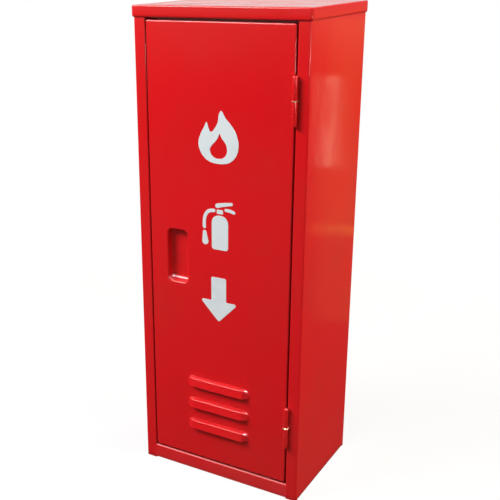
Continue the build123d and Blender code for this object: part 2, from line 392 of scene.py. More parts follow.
def facing_up(grid, top):
    """(u, v, depth) to X, Y and a depth under z = top."""
    return np.stack([grid[..., 0], grid[..., 1], top - grid[..., 2]], axis=-1)


def lathe(profile, centre, steps=32):
    """A profile of (radius, height) pairs turned round the vertical line through centre."""
    angle = np.linspace(0, 2 * np.pi, steps, endpoint=False)
    radius, height = np.array(profile, float).T
    x = centre[0] + radius[:, None] * np.cos(angle)
    y = centre[1] + radius[:, None] * np.sin(angle)
    z = np.broadcast_to(height[:, None], x.shape)
    return np.stack([x, y, z], axis=-1)


def slab(skin, x, y, z, edge=0.2):
    """A plate with every edge rounded: a rounded rectangle carried up through z, its ends drawn in."""
    us = np.array([x[0] + edge, x[1] - edge])
    vs = np.array([y[0] + edge, y[1] - edge])
    base, direction = round_path(us, vs, 4)
    radius, depth = [0.0], [z[1]]
    for start, end, level in ((HALF_PI, 0.0, z[1] - edge), (0.0, -HALF_PI, z[0] + edge)):
        angle = arc(start, end, 3)
        radius += list(edge * np.cos(angle))
        depth += list(level + edge * np.sin(angle))
    radius.append(0.0)
    depth.append(z[0])
    grid = carried(base, direction, np.array(radius), np.array(depth))
    skin.add(grid, close_rows=True)
    skin.add(table(us, vs, z[1]))
    skin.add(table(us, vs, z[0]), flip=True)
    return skin


# Materials


def give(tree, socket, value):
    """Links an output to a socket, or sets the socket's own value."""
    if isinstance(value, bpy.types.NodeSocket):
        tree.links.new(value, socket)
    else:
        socket.default_value = value


def node(tree, kind, settings=None, **inputs):
    """A shader node with its settings and its inputs given, an input's name with _ for each space."""
    made = tree.nodes.new(kind)
    for name, value in (settings or {}).items():
        setattr(made, name, value)
    for name, value in inputs.items():
        give(tree, made.inputs[name.replace("_", " ")], value)
    return made


def object_place(tree):
    """The Object coordinates."""
    return node(tree, "ShaderNodeTexCoord").outputs["Object"]


def noise(tree, place, scale, detail, roughness=0.5):
    """The value of a Noise Texture node."""
    made = node(tree, "ShaderNodeTexNoise", Vector=place, Scale=scale, Detail=detail, Roughness=roughness)
    return made.outputs[0]


def math(tree, operation, first, second):
    """The output of a Math node."""
    made = node(tree, "ShaderNodeMath", {"operation": operation})
    give(tree, made.inputs[0], first)
    give(tree, made.inputs[1], second)
    return made.outputs[0]


def length_of(tree, vector):
    """The length of a vector, by a Vector Math node."""
    made = node(tree, "ShaderNodeVectorMath", {"operation": "LENGTH"})
    give(tree, made.inputs[0], vector)
    return made.outputs["Value"]


def ranged(tree, value, low, high, out_low=0.0, out_high=1.0):
    """The output of a smooth Map Range node."""
    made = node(tree, "ShaderNodeMapRange", {"interpolation_type": "SMOOTHSTEP"}, Value=value,
                From_Min=low, From_Max=high, To_Min=out_low, To_Max=out_high)
    return made.outputs[0]


def mixed(tree, factor, first, second):
    """The colour output of a Mix node."""
    made = node(tree, "ShaderNodeMix", {"data_type": "RGBA"})
    for socket, value in ((0, factor), (6, first), (7, second)):
        give(tree, made.inputs[socket], value)
    return made.outputs[2]


def group_of(name, tints, values):
    """A new node group with inputs for colours and for values, which puts out a colour, a roughness
    and a height. Gives the group, its inputs and its outputs."""
    tree = bpy.data.node_groups.new(name, "ShaderNodeTree")
    sockets = [(tint, "INPUT", "NodeSocketColor") for tint in tints]
    sockets += [(value, "INPUT", "NodeSocketFloat") for value in values]
    sockets += [("Color", "OUTPUT", "NodeSocketColor"), ("Roughness", "OUTPUT", "NodeSocketFloat"),
                ("Height", "OUTPUT", "NodeSocketFloat")]
    for socket, side, kind in sockets:
        tree.interface.new_socket(socket, in_out=side, socket_type=kind)
    return tree, tree.nodes.new("NodeGroupInput").outputs, tree.nodes.new("NodeGroupOutput").inputs


def enamel_group():
    """Baked enamel: colour that drifts a little, fine orange peel, dull patches, dust, painted shade in the
    crevices and chips."""
    tree, given, put = group_of(
        "Baked enamel", ("Enamel", "Worn", "Primer", "Grime", "Dust"),
        ("Gloss Roughness", "Chips", "Grime Amount", "Dust Amount"))
    place = object_place(tree)
    drift = noise(tree, place, 7.0, 3.0)
    smear = noise(tree, place, 24.0, 5.0, 0.6)
    specks = noise(tree, place, 420.0, 3.0, 0.6)

    # Worn in slow clouds, and darkened towards the shade colour where little of the sky is in sight: painted
    # shade in the crevices
    faded = ranged(tree, drift, 0.38, 0.72, 0.0, 0.45)
    paint = mixed(tree, faded, given["Enamel"], given["Worn"])
    open_sky = node(tree, "ShaderNodeAmbientOcclusion", {"samples": 8}, Distance=0.014).outputs["AO"]
    open_sky = math(tree, "ADD", open_sky, math(tree, "MULTIPLY", smear, 0.15))
    painted_shade = math(tree, "MULTIPLY", ranged(tree, open_sky, 0.45, 1.0, 1.0, 0.0), given["Grime Amount"])
    paint = mixed(tree, painted_shade, paint, given["Grime"])

    # Dusty where it looks up
    face = node(tree, "ShaderNodeNewGeometry").outputs["Normal"]
    upward = node(tree, "ShaderNodeSeparateXYZ", Vector=face).outputs["Z"]
    settled = math(tree, "MULTIPLY", ranged(tree, upward, 0.55, 1.0), given["Dust Amount"])
    dusty = math(tree, "MULTIPLY", settled, ranged(tree, smear, 0.3, 0.7, 0.6, 1.0))
    paint = mixed(tree, dusty, paint, given["Dust"])

    # Down to the primer in the highest specks, of which chips lets in more
    threshold = math(tree, "SUBTRACT", 0.86, math(tree, "MULTIPLY", given["Chips"], 0.22))
    chip = ranged(tree, math(tree, "SUBTRACT", specks, threshold), 0.0, 0.02)
    give(tree, put["Color"], mixed(tree, chip, paint, given["Primer"]))

    # Duller in patches, under dust and in chips
    rough = math(tree, "ADD", given["Gloss Roughness"], ranged(tree, smear, 0.35, 0.75, -0.02, 0.05))
    rough = math(tree, "ADD", rough, math(tree, "MULTIPLY", dusty, 0.5))
    rough = math(tree, "ADD", rough, math(tree, "MULTIPLY", chip, 0.3))
    give(tree, put["Roughness"], rough)

    # Orange peel in two sizes, with the chips sunk in it
    fine_peel = math(tree, "MULTIPLY", noise(tree, place, 260.0, 2.0, 0.45), 0.35)
    peel = math(tree, "ADD", fine_peel, noise(tree, place, 70.0, 1.0, 0.4))
    give(tree, put["Height"], math(tree, "SUBTRACT", peel, math(tree, "MULTIPLY", chip, 0.8)))
    return tree


def grain_group():
    """Metal grain: fine streaks along X, cloudy tarnish and the roughness that goes with them."""
    tree, given, put = group_of("Metal grain", ("Metal", "Tarnish"), ("Base Roughness", "Streak"))
    place = object_place(tree)
    cloud = noise(tree, place, 160.0, 4.0, 0.6)
    dark = ranged(tree, cloud, 0.4, 0.75, 0.0, 0.7)
    give(tree, put["Color"], mixed(tree, dark, given["Metal"], given["Tarnish"]))
    rough = math(tree, "ADD", given["Base Roughness"], ranged(tree, cloud, 0.3, 0.7, -0.05, 0.15))
    give(tree, put["Roughness"], rough)
    drawn_out = node(tree, "ShaderNodeMapping", Vector=place, Scale=(60.0, 900.0, 900.0)).outputs[0]
    streaks = noise(tree, drawn_out, 1.0, 3.0)
    give(tree, put["Height"], math(tree, "MULTIPLY", streaks, given["Streak"]))
    return tree


def new_material(name):
    """The node tree of a new material and its bare Principled BSDF."""
    material = bpy.data.materials.new(name)
    material.use_nodes = True
    return material.node_tree, material.node_tree.nodes["Principled BSDF"]


def material_of(name):
    """A finish that is made already."""
    found = bpy.data.materials.get(name)
    if found is None:
        raise RuntimeError(f"the finish {name} isn't made yet: run the materials operator first")
    return found


def dimmed(tint, share):
    """A colour at a share of its brightness."""
    return tuple(channel * share for channel in tint[:3]) + (1.0,)


def bumped(tree, shader, depth, height):
    """Links a height to the shader's normal. A height of 1 stands for the depth in metres."""
    bump = node(tree, "ShaderNodeBump", Strength=1.0, Distance=depth, Height=height)
    give(tree, shader.inputs["Normal"], bump.outputs[0])


def place_group(tree, group, shader, depth, **inputs):
    """Puts a group in a material and links its colour, roughness and height to the shader."""
    made = node(tree, "ShaderNodeGroup", {"node_tree": group}, **inputs)
    give(tree, shader.inputs["Base Color"], made.outputs["Color"])
    give(tree, shader.inputs["Roughness"], made.outputs["Roughness"])
    bumped(tree, shader, depth, made.outputs["Height"])


def near_hinges(tree):
    """A mask round the hinge knuckles, from Object coordinates: 1 on them and 0 some millimetres off.

    It comes from the distance to each washer's middle, drawn out along the knuckle.
    """
    squeeze = np.array([1.6, 1.0, 0.3])
    near = []
    for place in HINGES:
        moved = tuple(-washer_place(place)[0] * MM * squeeze)
        offset = node(tree, "ShaderNodeMapping", Vector=object_place(tree), Location=moved, Scale=squeeze)
        near.append(ranged(tree, length_of(tree, offset.outputs[0]), 0.003, 0.016, 1.0, 0.0))
    return math(tree, "MAXIMUM", *near)


def enamel(name, group, tints, gloss, dust, chipped=False):
    """Red baked enamel over sheet steel."""
    tree, shader = new_material(name)
    # Every enamel gets half of the painted shade in its crevices.
    place_group(tree, group, shader, PEEL_DEPTH, Enamel=tints.enamel, Worn=tints.worn,
                Primer=tints.primer, Grime=tints.crevice_shade, Dust=tints.dust, Grime_Amount=0.5,
                Dust_Amount=dust, Gloss_Roughness=gloss, Chips=near_hinges(tree) if chipped else 0.0)


def metal(name, group, tint, rough, streak, metallic=1.0):
    """Bare or plated metal with grain and tarnish, or a dull solid where metallic is 0."""
    tree, shader = new_material(name)
    place_group(tree, group, shader, GRAIN_DEPTH, Metal=tint, Tarnish=dimmed(tint, 0.6),
                Base_Roughness=rough, Streak=streak)
    shader.inputs["Metallic"].default_value = metallic


def film(name, tint):
    """White printed film: satin, a little uneven, faintly grey where hands and dust have been."""
    tree, shader = new_material(name)
    place = object_place(tree)
    cloud = noise(tree, place, 40.0, 4.0, 0.6)
    soiled = ranged(tree, cloud, 0.4, 0.8, 0.0, 0.6)
    give(tree, shader.inputs["Base Color"], mixed(tree, soiled, tint, dimmed(tint, 0.86)))
    give(tree, shader.inputs["Roughness"], ranged(tree, cloud, 0.3, 0.7, 0.32, 0.45))
    bumped(tree, shader, GRAIN_DEPTH, noise(tree, place, 500.0, 2.0))


class CABINET_OT_materials(bpy.types.Operator):
    """Makes the finishes: enamel, plated and bright steel, plastic, magnet and white film."""

    bl_idname = "cabinet.materials"
    bl_label = "Finishes"

    def execute(self, context):
        tints = colours()
        paint = enamel_group()
        grain = grain_group()
        enamel("Enamel outside", paint, tints, gloss=0.12, dust=0.02)
        enamel("Enamel at hinges", paint, tints, gloss=0.15, dust=0.02, chipped=True)
        enamel("Enamel inside", paint, tints, gloss=0.36, dust=0.03)
        metal("Zinc plate", grain, tints.zinc, 0.32, 0.6)
        metal("Pin steel", grain, tints.pin, 0.25, 0.3)
        metal("Washer steel", grain, tints.washer, 0.5, 0.3)
        metal("Catch plastic", grain, tints.plastic, 0.45, 0.5, 0.0)
        metal("Ferrite", grain, tints.magnet, 0.55, 0.4, 0.0)
        film("White film", tints.film)
        return {"FINISHED"}


# The door


def louvre_lips():
    """The height of each louvre's lip, from the lowest up."""
    size = sizes()
    lowest = cad_box("door_panel")[0][2] + size.louvre_start
    return lowest + size.louvre_pitch * np.arange(LOUVRES)


def hood(x, over_lip):
    """How far a louvre stands out of the door at x and a height over its lip.

    It is the product of two profiles. The upright one rises steeply from the top edge, whose corners
    are rounded, turns over a shoulder and leans out to the lip. The one along the louvre domes down
    to the door at both ends.
    """
    size = sizes()
    steep, shoulder_round, edge_round = 3.0, 1.8, 0.8
    dome_power, dome_round = 2.2, 0.06
    corner, shoulder = size.louvre_corner, size.louvre_shoulder
    from_end = size.louvre_length / 2 - np.abs(x)
    from_top = size.louvre_rise - over_lip
    rounded = corner - np.hypot(np.clip(corner - from_end, 0, None), np.clip(corner - from_top, 0, None))
    down = np.minimum(from_top, rounded + np.clip(from_top - corner, 0, None))
    under_shoulder = shoulder / steep
    lean = (size.louvre_out - shoulder) / (size.louvre_rise - under_shoulder)
    upright = smooth_min(steep * down, shoulder + (down - under_shoulder) * lean, shoulder_round)
    inward = from_end / size.louvre_end
    dome = 1 - (1 - np.clip(inward, 0, 1)) ** dome_power
    return blend_in(upright, edge_round) * np.where(inward > 0, blend_in(dome, dome_round), 0)


def pull_place():
    """The middle of the finger pull's mouth in x and z, and the half sizes of its straight sides."""
    size = sizes()
    middle = sum(cad_box("finger_pull_cup")) / 2
    half_x = size.pull_width / 2 - size.pull_corner
    half_z = size.pull_height / 2 - size.pull_corner
    return middle[0], middle[2] - size.pull_drop, half_x, half_z


def door_box():
    """The door panel's corners, with its left edge trimmed."""
    low, high = cad_box("door_panel")
    return low + np.array([sizes().door_trim, 0, 0]), high


def door_face():
    """The y of the door's face."""
    return cad_box("door_panel")[1][1] - sizes().door_depth


def on_door(skin, grid, **options):
    """Adds a grid of (x, z, depth behind the door's face) to a skin.

    The depth gets the door's waves, which are true at its folds.
    """
    low, high = door_box()
    x, z = grid[..., 0], grid[..., 1]
    span, height, beside, above = 240.0, 0.16, 35.0, 50.0
    inside = away_from(x, low[0], high[0], beside) * away_from(z, low[2], high[2], above)
    grid[..., 2] += waves(x, z, span, height) * inside
    skin.add(facing_front(grid, door_face()), **options)


def door_lines(swing):
    """Grid lines across and up the door's face, close together at the louvres and the pull's mouth.

    A lip's height is there twice, for the end of the face under it and the start of its louvre. The
    swing is how far the lines at a corner of the pull's mouth lie from its straight sides.
    """
    size = sizes()
    low, high = door_box()
    corner = size.door_corner
    pull_x, pull_z, half_x, half_z = pull_place()
    lines_across, lines_to_pull, lines_to_top = 31, 22, 42
    cell_under_lip, nearest = 4, 0.05
    ends = size.louvre_length / 2
    dome = spread(0, (2, 5), (5, 6), (size.louvre_end, 8))
    us = np.unique(np.round(np.concatenate([
        np.linspace(low[0] + corner, high[0] - corner, lines_across),
        pull_x + np.array([-half_x, 0, half_x]), pull_x - half_x - swing, pull_x + half_x + swing,
        ends - dome, dome - ends,
    ]), 4))
    us = us[np.concatenate([[True], np.diff(us) > nearest])]
    rise = size.louvre_rise
    over_lip = spread(0, (rise - 4.5, 6), (rise - 3.2, 4), (rise - 0.8, 14), (rise + 1.0, 8))
    runs, start = [], low[2] + corner
    for lip in louvre_lips():
        cells = max(int((lip - start) / cell_under_lip), 2)
        runs += [np.linspace(start, lip, cells + 1), lip + over_lip[:-1]]
        start = lip + over_lip[-1]
    mouth = np.concatenate([pull_z - half_z - swing[::-1], [pull_z], pull_z + half_z + swing])
    runs += [np.linspace(start, mouth[0], lines_to_pull), mouth[1:],
             np.linspace(mouth[-1], high[2] - corner, lines_to_top)[1:]]
    return us, np.concatenate(runs)


def pull_mouth(us, vs, reach):
    """The rim of the pull's mouth: a profile from its wall over a bend, carried round the mouth.

    The profile's last step leads to the hole in the face's grid, whose four sides lie at reach from
    the straight sides of the mouth.
    """
    size = sizes()
    pull_x, pull_z, half_x, half_z = pull_place()
    inside_u = us[np.abs(us - pull_x) < half_x + reach + 0.01]
    inside_v = vs[np.abs(vs - pull_z) < half_z + reach + 0.01]
    square, _ = round_path(inside_u, inside_v, 1)
    centre, straight = np.array([pull_x, pull_z]), np.array([half_x, half_z])
    base = centre + np.clip(square - centre, -straight, straight)
    out_to = np.linalg.norm(square - base, axis=1)[:, None]
    wall, bend = size.pull_corner, size.bend
    angle = arc(0, HALF_PI, 7)
    radius = np.concatenate([[wall], wall + bend * (1 - np.cos(angle)), [wall + bend + 0.5]])
    depth = np.concatenate([[size.pull_rim], bend * (1 - np.sin(angle)), [0.0, 0.0]])
    radius = np.concatenate([np.broadcast_to(radius, (len(base), len(radius))), out_to], axis=1)
    return carried(base, (square - base) / out_to, radius, depth)


def door_edge(us, vs, lip_low, lip_high):
    """A profile over the door's fold and down its wall, carried round the face.

    Where a lip follows, the wall ends at the lip's fold.
    """
    size = sizes()
    corner, bend, deep = size.door_corner, size.bend, size.door_depth
    base, direction = round_path(us, vs, 8)
    start = corner - bend
    angle = arc(0, HALF_PI, 7)
    wall = spread(bend, (bend + 0.6, 1), (deep - 2, 3), (deep, 1))[1:]
    radius = np.concatenate([[0, start - 0.3], start + bend * np.sin(angle), np.full(len(wall), corner)])
    depth = np.concatenate([[0, 0], bend * (1 - np.cos(angle)), wall])
    ring = carried(base, direction, radius, depth)
    beside_lip = (np.abs(direction[:, 0]) > 0.999) & (base[:, 1] > lip_low) & (base[:, 1] < lip_high)
    ring[beside_lip, -1, 2] = deep - 2 * size.sheet
    return ring


def door_lip(heights, edge, side):
    """The lip behind a long wall: over a fold of twice the sheet and inwards from the edge."""
    size = sizes()
    fold, deep, wide = 2 * size.sheet, size.door_depth, size.door_lip
    angle = arc(0, HALF_PI, 5)
    inward = np.concatenate([fold * (1 - np.cos(angle)), [fold + 0.4, wide - 1, wide]])
    lip = np.zeros((len(heights), len(inward), 3))
    lip[..., 0] = edge + side * inward
    lip[..., 1] = heights[:, None]
    lip[..., 2] = np.concatenate([deep - fold * (1 - np.sin(angle)), np.full(3, deep)])
    return lip


def door_skin():
    """The outside of the door as one skin.

    A grid over the face carries the louvres as a height over the plane, with its row of cells at
    each lip left out. A rim goes round the finger pull's mouth, and a fold and a wall go round the
    door's edge, with a lip behind each long wall.
    """
    size = sizes()
    low, high = door_box()
    pull_x, pull_z, half_x, half_z = pull_place()
    reach = size.pull_corner + size.bend + 2.0
    us, vs = door_lines(reach * np.tan(arc(0, np.pi / 4, 6)))
    grid = table(us, vs)
    keep = np.ones((len(vs) - 1, len(us) - 1), bool)
    for split, lip in zip(np.flatnonzero(np.diff(vs) < SAME), louvre_lips()):
        over_lip = np.arange(len(vs))[:, None] > split
        grid[..., 2] -= np.where(over_lip, hood(grid[..., 0], grid[..., 1] - lip), 0)
        keep[split] = False
    in_mouth_u = np.abs((us[:-1] + us[1:]) / 2 - pull_x) < half_x + reach
    in_mouth_v = np.abs((vs[:-1] + vs[1:]) / 2 - pull_z) < half_z + reach
    keep &= ~(in_mouth_v[:, None] & in_mouth_u)

    skin = Skin()
    on_door(skin, grid, keep=keep)
    on_door(skin, pull_mouth(us, vs, reach), close_rows=True)
    face = door_face()
    lip_low, lip_high = low[2] + size.lip_trim, high[2] - size.lip_trim
    skin.add(facing_front(door_edge(us, vs, lip_low, lip_high), face), close_rows=True)
    heights = vs[(vs > lip_low) & (vs < lip_high)]
    for edge, side in ((low[0], 1), (high[0], -1)):
        skin.add(facing_front(door_lip(heights, edge, side), face), flip=side > 0)
    return skin


class CABINET_OT_door(bpy.types.Operator):
    """Builds the pressed door with its louvres, pull mouth, folded walls and lips."""

    bl_idname = "cabinet.door"
    bl_label = "Door"

    def execute(self, context):
        piece("door_skin", door_skin(), "door", "Enamel outside", sizes().sheet,
              replaces=["door_panel"])
        return {"FINISHED"}


class CABINET_OT_finger_pull(bpy.types.Operator):
    """Builds the cup of the finger pull behind its mouth."""

    bl_idname = "cabinet.finger_pull"
    bl_label = "Finger pull"

    def execute(self, context):
        size = sizes()
        pull_x, pull_z, half_x, half_z = pull_place()
        us = pull_x + spread(-half_x, (half_x, 4))
        vs = pull_z + spread(-half_z, (half_z, 12))
        deep = cad_box("finger_pull_cup")[1][1] - door_face() - size.sheet
        wall, rim = size.pull_corner, size.pull_rim
        angle = arc(0, HALF_PI, 12)
        radius = np.concatenate([wall * np.sin(angle), [wall] * 2])
        depth = np.concatenate([deep - wall * (1 - np.cos(angle)), [rim + 1.0, rim]])
        skin = Skin()
        on_door(skin, table(us, vs, deep))
        on_door(skin, carried(*round_path(us, vs, 10), radius, depth), close_rows=True)
        piece("pull_cup", skin, "door", "Enamel outside", size.sheet,
              replaces=["finger_pull_cup"])
        return {"FINISHED"}


# The white pictograms


def rounded_shape(points, radii):
    """A closed outline through the points, its corners rounded, from the middle of its last side."""
    points = np.array(points, float)
    start = (points[-1] + points[0]) / 2
    return folded(np.concatenate([[start], points, [start]]), radii, run=4.0)[:-1]


def smooth_shape(points, steps=10):
    """A closed outline: the Catmull-Rom curve through the points."""
    points = np.array(points, float)
    share = np.linspace(0, 1, steps, endpoint=False)[None, :, None]
    before, start, end, after = (np.roll(points, -turn, axis=0)[:, None, :] for turn in (-1, 0, 1, 2))
    curve = start + share / 2 * (end - before + share * (
        2 * before - 5 * start + 4 * end - after + share * (3 * (start - end) + after - before)))
    return curve.reshape(-1, 2)


def film_patch(skin, inner, outer, centre):
    """A thin film between two outlines, or between a point and an outline, with its edge eased.

    Each row is an outline between the two: from the inner one on the door, up its edge, over the
    film, down the outer edge and back under the film.
    """
    thick, ease, sunk = sizes().mark_thickness, 0.08, 0.1
    inner = np.broadcast_to(np.array(inner, float), outer.shape)
    gap = np.linalg.norm(outer - inner, axis=1)[:, None]
    near, far = ease / gap, 1 - ease / gap
    shares = np.concatenate([np.zeros((len(outer), 2)), near, (near + far) / 2, far,
                             np.ones((len(outer), 2)), np.zeros((len(outer), 1))], axis=1)
    depth = np.array([sunk, ease - thick, -thick, -thick, -thick, ease - thick, sunk, sunk])
    flat = inner[:, None] + shares[..., None] * (outer - inner)[:, None] + np.array(centre)
    grid = np.concatenate([flat, np.broadcast_to(depth[None, :, None], (*shares.shape, 1))], axis=-1)
    on_door(skin, grid, close_rows=True)


def stroke(points, start_width, end_width, steps=12):
    """The middle and the outline of a stroke with round ends along a Bezier curve of three points."""
    first, control, last = (np.array(point, float) for point in points)
    t = np.linspace(0, 1, steps)[:, None]
    line = (1 - t) ** 2 * first + 2 * t * (1 - t) * control + t * t * last
    ahead = 2 * (1 - t) * (control - first) + 2 * t * (last - control)
    ahead /= np.linalg.norm(ahead, axis=1)[:, None]
    aside = np.stack([ahead[:, 1], -ahead[:, 0]], axis=-1)
    half = (start_width + (end_width - start_width) * t) / 2
    cap = arc(0, np.pi, 8)[1:-1, None]
    end = line[-1] + half[-1] * (np.cos(cap) * aside[-1] + np.sin(cap) * ahead[-1])
    begin = line[0] + half[0] * (-np.cos(cap) * aside[0] - np.sin(cap) * ahead[0])
    right, left = line + aside * half, line - aside * half
    last_middle, first_middle = (np.tile(line[number], (len(cap), 1)) for number in (-1, 0))
    middle = np.concatenate([line, last_middle, line[::-1], first_middle])
    return middle, np.concatenate([right, end, left[::-1], begin])


def flame(skin, centre):
    """A flame: a smooth outline with two tongues and a drop left open in it."""
    outer = smooth_shape([
        (0, -36), (17, -33), (28, -22), (31, -7), (27, 8), (20, 18), (12, 26), (5, 36), (1, 31),
        (-1, 20), (-7, 10), (-12, 7), (-15, 12), (-18, 20), (-22, 13), (-28, 2), (-31, -10),
        (-27, -23), (-16, -33),
    ])
    inner = smooth_shape([
        (0, -29), (7, -27.5), (12, -23), (13.5, -16), (12, -9), (8.5, -4), (5, 0), (2.5, 5), (1, 4),
        (0, 1), (-2, -2.5), (-5, -6), (-7.5, -8.5), (-9.5, -10.5), (-11, -12.5), (-12.5, -15),
        (-13, -18), (-11, -23.5), (-6.5, -27.5),
    ])
    film_patch(skin, inner, outer, centre)


def bottle(skin, centre):
    """An extinguisher's silhouette in pieces: cylinder, neck, two handles, hose and nozzle."""
    body = rounded_shape([(-10, -35), (16, -35), (16, 15), (-10, 15)], (4, 4, 11, 11))
    film_patch(skin, (3, -10), body, centre)
    neck = rounded_shape([(-2, 17.5), (8, 17.5), (8, 23.5), (-2, 23.5)], 1.2)
    film_patch(skin, (3, 20.5), neck, centre)
    for points, start_width, end_width in (
        (((-1, 29), (8, 31.5), (21, 33.5)), 6.5, 4.5),
        (((12.5, 24), (18, 24.5), (25, 22)), 4.5, 4.5),
        (((-6.5, 21.5), (-24, 22), (-22, -4)), 5.0, 5.0),
        (((-21.6, -12), (-21, -19), (-20.5, -25)), 6.0, 10.0),
    ):
        film_patch(skin, *stroke(points, start_width, end_width), centre)


def arrow(skin, centre):
    """An arrow that points down, its corners rounded."""
    outline = rounded_shape([(0, -35), (31, -3), (12, -3), (12, 33), (-12, 33), (-12, -3), (-31, -3)],
                            (3, 2.5, 1.5, 2.5, 2.5, 1.5, 2.5))
    film_patch(skin, (0, -7), outline, centre)


# Name of each mark, what draws it, and its middle on the door in x and z.
MARKS = (
    ("mark_flame", flame, (1, 530)),
    ("mark_bottle", bottle, (0.5, 406)),
    ("mark_arrow", arrow, (1.5, 296)),
)


class CABINET_OT_marks(bpy.types.Operator):
    """Lays three plain white pictograms on the door: a flame, an extinguisher and an arrow."""

    bl_idname = "cabinet.marks"
    bl_label = "Pictograms"

    def execute(self, context):
        for name, draw, centre in MARKS:
            skin = Skin()
            draw(skin, centre)
            piece(name, skin, "door", "White film")
        return {"FINISHED"}


# The sides and the roof


def side_section(side, web, stile, foot_ends):
    """A side's section seen from above as a line of (x, y), from the door stop round to the rear flange.

    It is the middle of the sheet, mirrored to positive x. The web has a point at each end of the foot.
    """
    size = sizes()
    half_sheet = size.sheet / 2
    low, high = cad_box(SIDES[side] + "_panel")
    inner, outer = sorted(np.abs([low[0], high[0]]))
    front, back = low[1] + half_sheet, high[1] - half_sheet
    stop = cad_box("door_panel")[1][1] + 1.0 + half_sheet
    line = folded([
        (inner, stop), (stile + half_sheet, stop), (stile + half_sheet, front), (web, front),
        (web, back), (outer - size.rear_flange, back),
    ], size.bend - half_sheet)
    on_web = np.flatnonzero(np.abs(line[:, 0] - web) < SAME)
    numbers = np.append(np.arange(len(line)), np.interp(foot_ends, line[on_web, 1], on_web))
    line = np.concatenate([line, np.stack([np.full(2, web), foot_ends], axis=-1)])
    return line[np.argsort(numbers, kind="stable")]


def foot_grid(side, web, inner, ys):
    """A foot as a grid: a bend from the foot of the web, then flat inwards, over the y of the web's lines."""
    size = sizes()
    half_sheet = size.sheet / 2
    turn = size.bend - half_sheet
    angle = arc(0, HALF_PI, 6)
    x = np.concatenate([web - turn * (1 - np.cos(angle)), [web - turn - 0.4, inner]])
    z = np.concatenate([size.bend - turn * np.sin(angle), [half_sheet] * 2])
    foot = np.zeros((len(x), len(ys), 3))
    foot[..., 0] = side * x[:, None]
    foot[..., 1] = ys
    foot[..., 2] = z[:, None]
    return foot


def side_skin(side):
    """One side: a folded section carried up the cabinet, and the foot that is turned in under it.

    Long waves stand the section off flat in the middle of the web. The web's lowest row of cells is
    left out over the foot, and the door stop's cells are left out beside the floor pan.
    """
    size = sizes()
    low, high = cad_box(SIDES[side] + "_panel")
    outer = np.abs([low[0], high[0]]).max()
    front, back, top = low[1], high[1], high[2]
    door_low, door_high = door_box()
    stile = door_high[0] + size.hinge_gap if side > 0 else size.free_gap - door_low[0]
    web = outer - size.sheet / 2
    foot_ends = np.array([front + size.foot_trim, back - size.foot_trim])
    x, y = side_section(side, web, stile, foot_ends).T
    floor_top = cad_box("floor_pan")[1][2]
    heights = spread(0, (size.bend, 1), (floor_top + 0.2, 3), (top - 20, 60), (top, 4))
    on_web = np.abs(x - web) < SAME
    span, height, shift, under_roof = 260.0, 0.22, 40, 16
    across_web = on_web * away_from(y, front + size.bend, back - size.bend, 40.0)
    up_web = away_from(heights, floor_top, top - under_roof, 60.0)[:, None]
    grid = table(x, heights)[..., [0, 2, 1]]
    grid[..., 1] = y
    grid[..., 0] += waves(grid[..., 1] + shift * side, grid[..., 2], span, height) * across_web * up_web
    grid[..., 0] *= side

    middle_x, middle_y = (x[:-1] + x[1:]) / 2, (y[:-1] + y[1:]) / 2
    footed = (np.abs(middle_x - web) < SAME) & (middle_y > foot_ends[0]) & (middle_y < foot_ends[1])
    stopped = middle_x < stile - 0.4
    keep = np.ones((len(heights) - 1, len(x) - 1), bool)
    keep[0, footed] = False
    keep[heights[:-1] < floor_top] &= ~stopped
    skin = Skin().add(grid, keep=keep, flip=side < 0)
    ys = y[on_web & (y >= foot_ends[0] - SAME) & (y <= foot_ends[1] + SAME)]
    return skin.add(foot_grid(side, web, outer - size.rear_flange, ys), flip=side > 0)


class CABINET_OT_sides(bpy.types.Operator):
    """Builds the two folded side panels with their stiles, stops, flanges and feet."""

    bl_idname = "cabinet.sides"
    bl_label = "Side panels"

    def execute(self, context):
        for side, name in SIDES.items():
            piece(name, side_skin(side), "cabinet", "Enamel outside", sizes().sheet,
                  offset=0.0, replaces=[f"{name}_panel"])
        return {"FINISHED"}


def roof_skin():
    """The roof: a flat top with long waves, and a profile round it over the fold, down the fascia and in
    at the hem, which reaches further in at the front than at the back and the sides."""
    size = sizes()
    low, high = cad_box("roof_cap")
    corner, bend, roll = size.roof_corner, size.bend, size.hem_roll
    tall = high[2] - low[2]
    us = spread(low[0] + corner, (high[0] - corner, 36))
    vs = spread(low[1] + corner, (high[1] - corner, 26))
    flat = table(us, vs)
    u, v = flat[..., 0], flat[..., 1]
    sunk, margin, uneven = 0.25, 40, 0.6
    inside = away_from(u, us[0], us[-1], margin) * away_from(v, vs[0], vs[-1], margin)
    flat[..., 2] = sunk * inside * (1 + uneven * np.sin(u / 31.0) * np.cos(v / 37.0))
    skin = Skin().add(facing_up(flat, high[2]))

    base, direction = round_path(us, vs, 10)
    start = corner - bend
    angle = arc(0, HALF_PI, 8)
    hem_front, hem_back, hem_side = 2.45, 1.95, 1.75
    hem = np.select([direction[:, 1] < -0.5, direction[:, 1] > 0.5], [hem_front, hem_back], hem_side)[:, None]
    radius = np.concatenate([[0, start - 0.3], start + bend * np.sin(angle), [corner] * 3])
    radius = np.broadcast_to(radius, (len(base), len(radius)))
    radius = np.concatenate([radius, corner - hem + hem * np.cos(angle[1:])], axis=1)
    depth = np.concatenate([[0, 0], bend * (1 - np.cos(angle)), [bend + 0.6, tall / 2, tall - roll],
                            tall - roll + roll * np.sin(angle[1:])])
    return skin.add(facing_up(carried(base, direction, radius, depth), high[2]), close_rows=True)


class CABINET_OT_roof(bpy.types.Operator):
    """Builds the roof cap with its rolled edge and rounded hem."""

    bl_idname = "cabinet.roof"
    bl_label = "Roof"

    def execute(self, context):
        piece("roof_skin", roof_skin(), "cabinet", "Enamel outside", sizes().roof_sheet,
              replaces=["roof_cap"])
        return {"FINISHED"}


# The hinges and the pieces that stay


